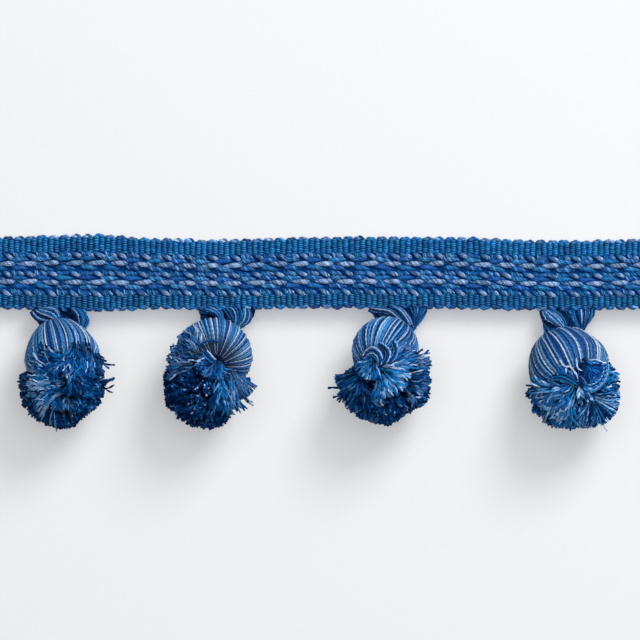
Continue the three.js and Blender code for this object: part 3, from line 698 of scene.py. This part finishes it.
def border_yarns(first, last, tone):
    """Warp threads of a ribbed border, each over every second rib and its neighbours over the others."""
    rows = np.arange(first, last, WARP_PITCH)
    row, rib = np.meshgrid(np.arange(len(rows)), np.arange(RIBS), indexing="ij")
    over = (row + rib) % 2 == 0
    row, rib = row[over], rib[over]
    count = len(row)
    across = rows[row] + rng.normal(0, 0.03, count)
    middle = -LENGTH / 2 + (rib + 0.5) * RIB_PITCH + rng.normal(0, 0.05, count)
    phase = np.array([-0.5, -0.43, -0.25, 0, 0.25, 0.43, 0.5])  # in ribs from the middle of one
    raised = WARP_FOOT + WARP_RISE * np.sqrt(1 - (2 * phase) ** 2) + rng.normal(0, 0.04, (count, 1))
    paths = on_heading(middle[:, None] + RIB_PITCH * phase, across[:, None], raised)
    thread = dyed(WARP_DYES, count, 0.1) * np.exp(rng.normal(0, 0.1, RIBS))[rib][:, None]
    # painted light: the thread's colour is darker across the rib and lighter where the light falls on its
    # right side, and tone darkens a whole border as painted shade
    painted_light = tone * (RIB_PAINTED_SHADE + RIB_PAINTED_HIGHLIGHT * np.exp(-((phase - PAINTED_HIGHLIGHT_PLACE) / PAINTED_HIGHLIGHT_WIDTH) ** 2))
    yarns = Yarns()
    yarns.add(paths, WARP_RADIUS - WARP_TAPER * np.abs(phase), thread[:, None] * painted_light[:, None], sides=5)
    return yarns


def edge_yarns():
    """The weft's turns along both edges, each a loop over two ribs."""
    yarns = Yarns()
    span = RIBS_PER_LOOP * RIB_PITCH
    count = round(LENGTH / span)
    turn = np.linspace(0, np.pi, 13)
    out = np.sin(turn)
    full = TURN_SLIM + (1 - TURN_SLIM) * out
    for at_rear, dyes in ((True, REAR_LOOP_DYES), (False, FRONT_LOOP_DYES)):
        middle = -LENGTH / 2 + (np.arange(count) + 0.5) * span + rng.normal(0, 0.1, count)
        half = rng.normal(TURN_HALF, 0.08, count)
        depth = rng.normal(TURN_REACH, 0.1, count)
        along = middle[:, None] - half[:, None] * np.cos(turn)
        inside = TURN_ROOT - depth[:, None] * out**TURN_BLUNT
        across = inside if at_rear else WIDTH - inside
        paths = on_heading(along, across, TURN_FOOT + TURN_RISE * out)
        apart = TURN_PLY * full
        plies = plied(paths, 2, apart, apart, turns=1.5, phase=rng.uniform(0, np.pi, count))
        yarns.add(plies, TURN_RADIUS * full, dyed(dyes, 2 * count), sides=6)
    return yarns


def float_yarns(yarns, form, middle, across, dyes, end_dyes=None):
    """Floats of one form along a row. With end_dyes, each turns to those towards its far end."""
    count = len(middle)
    each = count * form.plies
    share = np.linspace(-1, 1, 5 + round(3.5 * form.turns))
    half = form.half * np.exp(rng.normal(0, 0.06, (count, 1)))
    slant = form.slant + rng.normal(0, 0.05, (count, 1))
    along = middle[:, None] + half * np.cos(slant) * share
    aside = across + rng.normal(0, 0.07, (count, 1)) + half * np.sin(slant) * share
    bulge = 1 - (share - 0.5 * form.lean * (1 - share**2)) ** 2
    crest = form.crest - FLOAT_FOOT + rng.normal(0, 0.05, (count, 1))
    paths = on_heading(along, aside, FLOAT_FOOT + crest * bulge)
    wide = form.wide * (FLOAT_SLIM + (1 - FLOAT_SLIM) * bulge**FLOAT_BLUNT)
    bundle = plied(paths, form.plies, wide, FLOAT_FLAT * wide, form.turns, rng.uniform(0, 2 * np.pi, count))
    colours = dyed(dyes, each)[:, None]
    if end_dyes:
        turned = smooth(share + FLOAT_CHANGE)[:, None]
        colours = colours + (dyed(end_dyes, each)[:, None] - colours) * turned
    colours = np.broadcast_to(colours, (each, len(share), 3))
    yarns.add(bundle, form.thick * (1 + bulge) / 2, colours, sides=4)


def pale_places():
    """Middles of the pale floats along the heading."""
    first = math.ceil((-LENGTH / 2 - FLOAT_PHASE) / FLOAT_PITCH)
    last = math.floor((LENGTH / 2 - FLOAT_PHASE) / FLOAT_PITCH)
    return FLOAT_PHASE + FLOAT_PITCH * np.arange(first, last + 1)


def centre_yarns():
    """The middle of the heading: rows of pale floats, with blue leaves above and below them."""
    yarns = Yarns()
    pale = pale_places()
    gaps = np.concatenate([[pale[0] - FLOAT_PITCH / 2], pale + FLOAT_PITCH / 2])
    gaps = gaps[np.abs(gaps) < LENGTH / 2]
    for across in PALE_ROWS:
        middle = pale + rng.normal(0, 0.16, len(pale))
        float_yarns(yarns, PALE_FLOAT, middle, across, PALE_DYES)
        float_yarns(yarns, GAP_FLOAT, gaps, across, BLUE_DYES)
    for number, (across, shift, slant) in enumerate(LEAF_ROWS):
        middle = gaps + shift + rng.normal(0, 0.16, len(gaps))
        for parity, dyes in ((0, ROYAL_DYES), (1, TEAL_DYES)):
            float_yarns(yarns, LEAF._replace(slant=slant), middle[(parity + number) % 2::2], across, dyes)
    return yarns


def stitch_yarns():
    """Slanted stitches between the rows of floats, with pale ends."""
    yarns = Yarns()
    pale = pale_places()
    for across, shift, slant in STITCH_ROWS:
        middle = pale + shift + rng.normal(0, 0.12, len(pale))
        float_yarns(yarns, STITCH._replace(slant=slant), middle, across, BLUE_DYES, PALE_DYES)
        float_yarns(yarns, CROSSING, middle + CROSSING_SHIFT, across, TEAL_DYES)
        follower = FOLLOWER._replace(slant=slant)
        float_yarns(yarns, follower, middle + FOLLOWER_SHIFT, across + FOLLOWER_ASIDE, ROYAL_DYES, MIXED_DYES)
    return yarns


# Tassels


class Tassel:
    """Places of one tassel, in millimetres in the frame of the whole trim."""

    def __init__(self, row):
        self.origin = np.array([row["along"], FRONT_Y, 0])
        self.head, self.neck, self.ball = (self.place(row[name]) for name in ("head", "neck", "ball"))
        for name in ("head_radius", "ball_radius", "swirl", "shade_from", "dye", "head_tone", "cut_tone"):
            setattr(self, name, row[name])
        self.breadth = 1 - row["slim"]
        self.profile = HEAD_PROFILE.copy()
        from_neck = 1 - self.profile[:, 0]
        self.profile[:, 1] *= (1 - row["taper"] * from_neck**2) * (1 + row["crown"] * from_neck**6)
        self.cuts = [(math.radians(turn), reach) for turn, reach in row["cuts"]]
        self.curls = [self.planned(curl) for curl in row["curls"]]
        self.lobes = [self.planned(lobe) for lobe in row["lobes"]]
        self.fans = [fan._replace(place=self.plan([fan.place])[0]) for fan in row["fans"]]
        self.axis = unit(self.neck - self.head)
        self.length = 2 * np.linalg.norm(self.neck - self.head)
        self.top = 2 * self.head - self.neck
        self.aside = unit(ACROSS - (ACROSS @ self.axis) * self.axis)
        self.over = np.cross(self.axis, self.aside)

    def place(self, point):
        """A point of the table in the frame."""
        across, out, up = point
        return self.origin + np.array([across, -out, up])

    def plan(self, spots):
        """Spots [across, out] of the table, in plan in the frame."""
        return [self.place((*spot, 0))[:2] for spot in spots]

    def planned(self, bunch):
        return bunch._replace(first=self.plan(bunch.first), last=self.plan(bunch.last))

    def head_points(self, lengths, radii, angles):
        """Points round the head's axis, from shares of its length and radius."""
        along = (lengths * self.length)[..., None] * self.axis
        out = self.breadth * np.cos(angles)[..., None] * self.aside + np.sin(angles)[..., None] * self.over
        return self.top + along + (radii * self.head_radius)[..., None] * out

    def in_head(self, points, margin):
        """Which points lie in the head, or within a margin of its side."""
        offset = points - self.top
        along = offset @ self.axis
        aside = np.linalg.norm(offset - along[:, None] * self.axis, axis=1)
        share = along / self.length
        radius = np.interp(share, self.profile[:, 0], self.profile[:, 1], left=0, right=0)
        return aside < radius * self.head_radius + margin * (radius > 0)

    def top_height(self, places):
        """Height of the ball's or the head's upper face over places, and level beyond their rims."""
        heights = []
        for middle, radius in ((self.ball, self.ball_radius), (self.head, self.head_radius)):
            off = np.linalg.norm(places - middle[:2], axis=-1) / radius
            heights.append(middle[2] + radius * np.sqrt(1 - np.minimum(off, RIM) ** 2))
        return np.maximum(*heights)


def head_yarns(tassel):
    """The folded hank: yarns side by side from the fold, over the round of the head, to the tied neck."""
    yarns = Yarns()
    profile = smooth_path(np.vstack([FOLD_PROFILE, tassel.profile, NECK_PROFILE]), HEAD_STEPS)
    lengths, widths = profile[:, 0], profile[:, 1]
    angle = 2 * np.pi * (np.arange(HEAD_STRANDS) + rng.normal(0, 0.13, HEAD_STRANDS)) / HEAD_STRANDS
    wander = rng.normal(0, 0.03, (HEAD_STRANDS, 1)) * np.sin(np.pi * lengths)
    angles = angle[:, None] + wander + tassel.swirl * (lengths - 0.5) ** 2
    dyes = tassel.head_tone * dyed(HEAD_DYES, HEAD_STRANDS, 0.1)
    lines = np.arange(2, HEAD_STRANDS - 2, LINE_STEP)
    dyes[lines + rng.integers(-1, 2, len(lines))] = dyed(LINE_DYES, len(lines), 0.1)
    pale = smooth((dyes[:, :1] - PALE_FROM) / PALE_RANGE)
    proud = STRAND_LEVEL + rng.normal(0, 0.008, (HEAD_STRANDS, 1)) + PALE_PROUDER * pale
    paths = tassel.head_points(np.broadcast_to(lengths, angles.shape), widths * proud, angles)
    pitch = 2 * np.pi * widths * tassel.head_radius / HEAD_STRANDS
    radii = np.clip(STRAND_ROOM * pitch, *STRAND_RADIUS) * (1 - PALE_THINNER * pale)
    along = np.linspace(0, 1, HEAD_STEPS)
    # painted shade: each strand's colour turns towards navy near the neck
    shade = (1 - PALE_UNSHADED * pale) * smooth((along - tassel.shade_from) / SHADE_RUN)
    colours = dyes[:, None] + shade[..., None] * (SHADE_TONE * linear(NAVY) - dyes[:, None])
    yarns.add(paths, radii, colours, sides=6, lobes=0.14, twist=7)
    # a dark core under the strands: it shows in the gaps between them as painted shade
    lathe = smooth_path(tassel.profile[:-2], count=14)
    core = tassel.head_points(lathe[:, 0], 0 * lathe[:, 1], 0 * lathe[:, 1])[None]
    core_radii = tassel.breadth * lathe[:, 1] * tassel.head_radius - CORE_DEPTH
    yarns.add(core, core_radii, linear(DEEP)[None], sides=40)
    return yarns


def ball_directions(count):
    """Directions spread evenly over a ball on a spiral, each a little astray."""
    golden = np.pi * (3 - np.sqrt(5))
    i = np.arange(count)
    z = 1 - (2 * i + 1) / count
    aside = np.sqrt(1 - z * z)
    spread = np.stack([aside * np.cos(golden * i), aside * np.sin(golden * i), z], axis=1)
    return unit(spread + rng.normal(0, 0.03, spread.shape))


def bezier(a, b, c, d, t):
    a, b, c, d = (p[:, None] for p in (a, b, c, d))
    return a * (1 - t) ** 3 + 3 * b * t * (1 - t) ** 2 + 3 * c * t * t * (1 - t) + d * t**3


def pompom_yarns(tassel):
    """Cut yarns, trimmed to a ball: a brush shows its tips, and fans and curls show their length."""
    yarns = Yarns(tassel.ball)
    brush_yarns(yarns, tassel)
    for fan in tassel.fans:
        fan_yarns(yarns, tassel, fan)
    for curl in tassel.curls:
        curl_yarns(yarns, tassel, curl)
    # a navy filling in the middle of the ball: a dark body that shows between the yarns as painted shade
    filling = smooth_path([tassel.neck, 2 * tassel.ball - tassel.neck], FILLING_STEPS)[None]
    rounded = np.sin(np.pi * np.linspace(*FILLING_ENDS, FILLING_STEPS)) ** FILLING_BLUNT
    yarns.add(filling, FILLING_RADIUS * rounded, linear(NAVY)[None], sides=24)
    return yarns


def trimmed(tassel, directions, reach):
    """Tips on the ball, or on the floor or a straighter cut where the ball would pass them."""
    limits = [(-directions[:, 2], tassel.ball[2] - FLOOR_CLEAR)]
    for turn, cut_reach in tassel.cuts:
        aside = directions[:, 0] * math.cos(turn) + directions[:, 1] * math.sin(turn)
        limits.append((aside, cut_reach * reach))
    long = reach * tassel.ball_radius
    for slope, limit in limits:
        shortened = np.minimum(long, limit / np.maximum(slope, LEAST_SLOPE))
        long = np.where(slope > LEAST_SLOPE, shortened, long)
    return tassel.ball + long[:, None] * directions


def under_fans(tassel, points):
    """Which points on the ball lie below a fan."""
    below = np.zeros(len(points), bool)
    for fan in tassel.fans:
        first, last = fan.sweep
        near, far = fan.span
        off = points[:, :2] - fan.place
        turn = np.degrees(np.arctan2(off[:, 1], off[:, 0]))
        away = np.linalg.norm(off, axis=1)
        below |= ((turn - first) % 360 < last - first) & (away > near) & (away < far)
    return below & (points[:, 2] > tassel.ball[2])


def brush_yarns(yarns, tassel):
    """Tufts from the middle of the ball, their cut tips facing outwards. Those under a fan are shorter."""
    spread = ball_directions(POMPOM_STRANDS)
    tufts = ball_directions(TUFTS)
    tuft = np.argmax(spread @ tufts.T, axis=1)
    leaning = unit(tufts + rng.normal(0, 0.1, tufts.shape))
    directions = unit(spread + TUFT_PULL * (leaning[tuft] - spread))
    reach = BRUSH_REACH + rng.normal(0, 0.022, TUFTS)[tuft] + rng.normal(0, 0.025, POMPOM_STRANDS)
    reach = np.where(under_fans(tassel, trimmed(tassel, directions, reach)), UNDER_FAN * reach, reach)
    tips = trimmed(tassel, directions, reach)
    from_neck = np.linalg.norm(tips - tassel.neck, axis=1)
    stands = ~tassel.in_head(tips, HEAD_CLEAR) & (from_neck > NECK_CLEAR)
    tips, directions, tuft = tips[stands], directions[stands], tuft[stands]
    count = len(tips)
    roots = tassel.ball + rng.normal(0, ROOT_SCATTER, (count, 3))
    long = np.linalg.norm(tips - roots, axis=1, keepdims=True)
    swerve = rng.normal(0, 0.3, (TUFTS, 3))[tuft] + rng.normal(0, 0.14, (count, 3))
    rise = roots + BRUSH_BEND * long * directions
    near = tips - BRUSH_BEND * long * unit(directions + swerve)
    places = np.broadcast_to(BRUSH_PLACES, (count, len(BRUSH_PLACES)))
    paths = bezier(roots, rise, near, tips, places[..., None])
    tone = tassel.cut_tone * np.exp(rng.normal(0, 0.18, TUFTS))[tuft][:, None, None]
    dyes = dyed(YARN_DYES[tassel.dye], count)[:, None]
    # painted shade: each yarn's colour is darker towards its root, deep in the ball, and lighter at its tip
    yarns.add(paths, BRUSH_RADII, dyes * tone * BRUSH_PAINTED_SHADE[:, None], sides=3)


def fan_yarns(yarns, tassel, fan):
    """Two-ply cut yarns laid on the ball like thatch: each sinks in at its root and opens at its tip."""
    near, far = fan.span
    number = fan.number
    each = (number, 1)
    share = np.linspace(0, 1, 7)
    long = np.minimum(fan.length * np.exp(rng.normal(0, 0.14, each)), far - near)
    run = near + (far - near - long) * np.sqrt(rng.uniform(0, 1, each)) + long * share
    at_root, on_the_way = FAN_ASTRAY
    astray = fan.loose * (rng.normal(0, at_root, each) + rng.normal(0, on_the_way, each) * share)
    turn = np.radians(rng.uniform(*fan.sweep, each) + fan.bend * run / far + astray)
    swing = share * long / FAN_WAVELENGTH + rng.uniform(0, 1, each)
    wave = FAN_WAVE * fan.loose * np.sin(2 * np.pi * swing)
    across, out = np.cos(turn), np.sin(turn)
    places = fan.place + np.stack([run * across - wave * out, run * out + wave * across], axis=-1)
    lift = FAN_SUNK + FAN_RISE * smooth(share / FAN_UP_BY) + FAN_HEAP * (1 - run / far)
    lift = lift + rng.normal(0, 0.2, each)
    paths = np.concatenate([places, (tassel.top_height(places) + lift)[..., None]], axis=-1)
    closed, opening = FAN_OPEN
    aside = FAN_PLY * fan.thickness * (closed + opening * share**2)
    plies = plied(paths, 2, aside, aside, turns=1.1, phase=rng.uniform(0, np.pi, number))
    colours = tassel.cut_tone * np.repeat(dyed(YARN_DYES[fan.dye], number, 0.2), 2, axis=0)
    colours = colours * np.exp(rng.normal(0, 0.14, (2 * number, 1)))
    dark, light = FAN_PAINTED_SHADE
    # painted shade: each yarn's colour is darker towards its root, where it sinks into the ball
    root_painted_shade = dark + light * smooth(share / FAN_UNSHADED_BY)
    radii = FAN_RADIUS * fan.thickness * (1 - FAN_TIP * (share == 1))
    yarns.add(plies, radii, colours[:, None] * root_painted_shade[:, None], sides=4)


def bunch_routes(bunch, steps):
    """Routes of a bunch's yarns in plan, and how far each lies from the first to the last."""
    first, last = (smooth_path([*route, route[-1] + BUNCH_ON * (route[-1] - route[-2])], steps)
                   for route in (bunch.first, bunch.last))
    beside = np.linspace(0, 1, bunch.number)[:, None] + rng.normal(0, 0.02, (bunch.number, 1))
    return first + beside[..., None] * (last - first), beside


def add_bunch(yarns, bunch, routes, heights):
    """Two-ply yarns along routes, in the bunch's order of dyes."""
    paths = np.concatenate([routes, heights[..., None]], axis=-1)
    phase = rng.uniform(0, np.pi, bunch.number)
    plies = plied(paths, 2, wide=0.17, high=0.17, turns=4, phase=phase)
    cycle = BUNCH_DYES[bunch.dye]
    dyes = np.array([linear(cycle[k % len(cycle)]) for k in range(bunch.number)])
    dyes = dyes * np.exp(rng.normal(0, 0.15, (bunch.number, 1)))
    yarns.add(plies, radii=0.21, colours=np.repeat(dyes, 2, axis=0), sides=4)


def curl_yarns(yarns, tassel, curl):
    """Yarns that rise from the head or the ball and wind over the neck."""
    routes, beside = bunch_routes(curl, CURL_STEPS)
    arch = np.sqrt(np.sin(np.pi * np.linspace(0, 1, CURL_STEPS)))
    lift = CURL_SUNK + (CURL_OVER - CURL_SUNK + CURL_RIDGE * np.sin(np.pi * beside)) * arch
    lift = lift + rng.normal(0, 0.2, (curl.number, 1))
    add_bunch(yarns, curl, routes, tassel.top_height(routes) + lift)


def lobe_yarns(yarns, lobe):
    """Yarns out of the weave, over the heading's front edge, and in below the head."""
    routes, beside = bunch_routes(lobe, LOBE_STEPS)
    share = np.linspace(0, 1, LOBE_STEPS)
    ridge = np.sin(np.pi * beside) * np.sin(np.pi * share) + rng.normal(0, 0.2, (lobe.number, 1))
    lift = LOBE_SUNK + (LOBE_OVER - LOBE_SUNK) * smooth(share / LOBE_UP_BY) + LOBE_RIDGE * ridge
    add_bunch(yarns, lobe, routes, back_height(WIDTH) + lift)


def leg_points(tassel, x):
    """Where a yarn of the loop is sewn under the heading, and where it is clear of its front edge."""
    sewn = (x, LOOP_SEWN, back_height(WIDTH - LOOP_SEWN) - LEG_DROP)
    clear = (x, -LEG_PAST_EDGE, back_height(WIDTH) - LEG_DROP)
    return [tassel.origin + sewn, tassel.origin + clear]


def loop_yarns(tassel):
    """The hank that carries the tassel: from under the heading, through the head's fold, and back."""
    yarns = Yarns()
    fold = [tassel.top + (FOLD_DEPTH + FOLD_TURN * (math.sin(t) - 1)) * tassel.axis
            - FOLD_TURN * math.cos(t) * tassel.aside for t in np.linspace(0, np.pi, 5)]
    legs = [leg_points(tassel, -LEG_SPREAD), leg_points(tassel, LEG_SPREAD)]
    path = smooth_path([*legs[0], *fold, *legs[1][::-1]], LOOP_STEPS)
    level, blend = FOLD_BLEND
    in_fold = smooth((np.sin(np.pi * np.linspace(0, 1, LOOP_STEPS)) - level) / blend)
    wide, thick = (at_leg + (at_fold - at_leg) * in_fold for at_leg, at_fold in zip(LEG_HALF, FOLD_HALF))
    bundle = plied(path[None], LOOP_YARNS, wide, thick, turns=-2.4)
    phase = rng.uniform(0, np.pi, LOOP_YARNS)
    strands = plied(bundle, 2, wide=0.22, high=0.22, turns=9, phase=phase)
    colours = np.repeat(dyed(LOOP_DYES, LOOP_YARNS), 2, axis=0)
    colours = colours * np.exp(rng.normal(0, 0.2, (2 * LOOP_YARNS, 1)))
    yarns.add(strands, radii=0.27, colours=colours, sides=4)
    # a navy core between the loop's yarns: it shows in their gaps as painted shade
    inner = plied(path[None], 5, wide=0.55 * wide, high=0.4 * thick, turns=-1.3)
    yarns.add(inner, radii=0.62, colours=np.tile(linear(NAVY), (len(inner), 1)), sides=6)
    between = []
    for x in np.linspace(-LEG_SPREAD, LEG_SPREAD, 11):
        fold_end = tassel.top + BETWEEN_DEPTH * tassel.axis + x / 2 * tassel.aside
        between.append(smooth_path([*leg_points(tassel, x), fold_end], count=8))
    yarns.add(np.array(between), radii=0.6, colours=dyed(LOOP_DYES, len(between)), sides=5)
    for lobe in tassel.lobes:
        lobe_yarns(yarns, lobe)
    return yarns


def tie_yarns(tassel):
    """Binding thread, wound round the neck."""
    yarns = Yarns()
    share = np.linspace(0, 1, TIE_STEPS * TIE_TURNS)
    angle = 2 * np.pi * TIE_TURNS * share
    out = np.cos(angle)[:, None] * tassel.aside + np.sin(angle)[:, None] * tassel.over
    path = tassel.neck + (TIE_HEIGHT * (share - 0.5))[:, None] * tassel.axis + TIE_RADIUS * out
    yarns.add(path[None], radii=0.2, colours=linear(NAVY)[None], sides=6)
    return yarns


# Stage

FRAME_MM = 192.0  # width of what the photograph shows
VIEW_CENTRE = (0.0, -21.15)  # in millimetres
CAMERA_HEIGHT = 2.0  # in metres, like the floor and the lights
SENSOR_WIDTH = 36
FAR_CLIP = 100
FLOOR_SIZE = 30
TONE_GAMMA = 0.84


def area_light(name, size, power, place, target):
    """A round soft light that faces a target."""
    light = bpy.data.lights.new(name, "AREA")
    light.shape = "DISK"
    light.size = size
    light.energy = power
    made = bpy.data.objects.new(name, light)
    made.location = place
    back = np.array(place) - np.array(target)
    made.rotation_euler = (math.acos(back[2] / np.linalg.norm(back)), 0, math.atan2(back[0], -back[1]))
    bpy.context.scene.collection.objects.link(made)


def make_stage():
    scene = bpy.context.scene
    bpy.ops.mesh.primitive_plane_add(size=FLOOR_SIZE)
    floor = bpy.context.object
    floor.name = "floor"
    floor.data.materials.append(floor_material())
    target = (VIEW_CENTRE[0] * MM, VIEW_CENTRE[1] * MM, 0)
    camera = bpy.data.cameras.new("camera")
    camera.sensor_width = SENSOR_WIDTH
    camera.lens = SENSOR_WIDTH * CAMERA_HEIGHT / (FRAME_MM * MM)
    camera.clip_end = FAR_CLIP
    made = bpy.data.objects.new("camera", camera)
    made.location = (target[0], target[1], CAMERA_HEIGHT)
    scene.collection.objects.link(made)
    scene.camera = made
    area_light("key", size=0.6, power=12.0, place=(0.53, 0.8, 0.85), target=target)
    area_light("fill", size=2.2, power=22.0, place=(0.2, 0.2, 1.8), target=target)
    world = bpy.data.worlds.new("studio")
    world.use_nodes = True
    sky = world.node_tree.nodes["Background"].inputs
    sky["Color"].default_value = (0.95, 0.97, 1.0, 1)
    sky["Strength"].default_value = 0.3
    scene.world = world
    scene.view_settings.view_transform = "Standard"
    scene.view_settings.gamma = TONE_GAMMA


woven = yarn_material(
    "woven_yarn", twist_mm=0.9, roughness=0.32, shine=0.45,
    relief=0.8, groove_shade=0.6, grain=0.9,
)
backing = yarn_material("backing_yarn", twist_mm=1.1, roughness=0.8, shine=0.05, relief=0.6)
hank = yarn_material(
    "hank_yarn", twist_mm=0.9, roughness=0.48, shine=0.25,
    relief=0.8, groove_shade=0.6, grain=0.8,
)
cut = yarn_material(
    "cut_yarn", twist_mm=2.2, roughness=0.8, shine=0.08,
    relief=0.6, groove_shade=0.5, grain=1.2, fluff=0.8,
)
thread = yarn_material("binding_thread", twist_mm=0.9, roughness=0.5, shine=0.2, relief=0.5)

ground = piece("heading_ground", ground_yarns(), backing, "heading_yarn", "heading")
on_ground = [
    piece("border_rear", border_yarns(*REAR_BORDER, tone=1.0), woven, "heading_yarn"),
    # painted shade: the front border's colour is darker, as if it sloped away from the light
    piece("border_front", border_yarns(*FRONT_BORDER, tone=0.78), woven, "heading_yarn"),
    piece("edge_loops", edge_yarns(), woven, "heading_yarn"),
    piece("centre_floats", centre_yarns(), woven, "heading_yarn"),
    piece("centre_stitches", stitch_yarns(), woven, "heading_yarn"),
]
for number, row in enumerate(TASSELS, 1):
    tassel = Tassel(row)
    piece(f"tassel_{number}_head", head_yarns(tassel), hank, "tassel_yarn", f"tassel_{number}")
    piece(f"tassel_{number}_pompom", pompom_yarns(tassel), cut, "tassel_yarn")
    piece(f"loop_{number}_yarns", loop_yarns(tassel), hank, "loop_yarn", f"loop_{number}")
    piece(f"tie_{number}_thread", tie_yarns(tassel), thread, "tie_thread", f"tie_{number}")
make_stage()
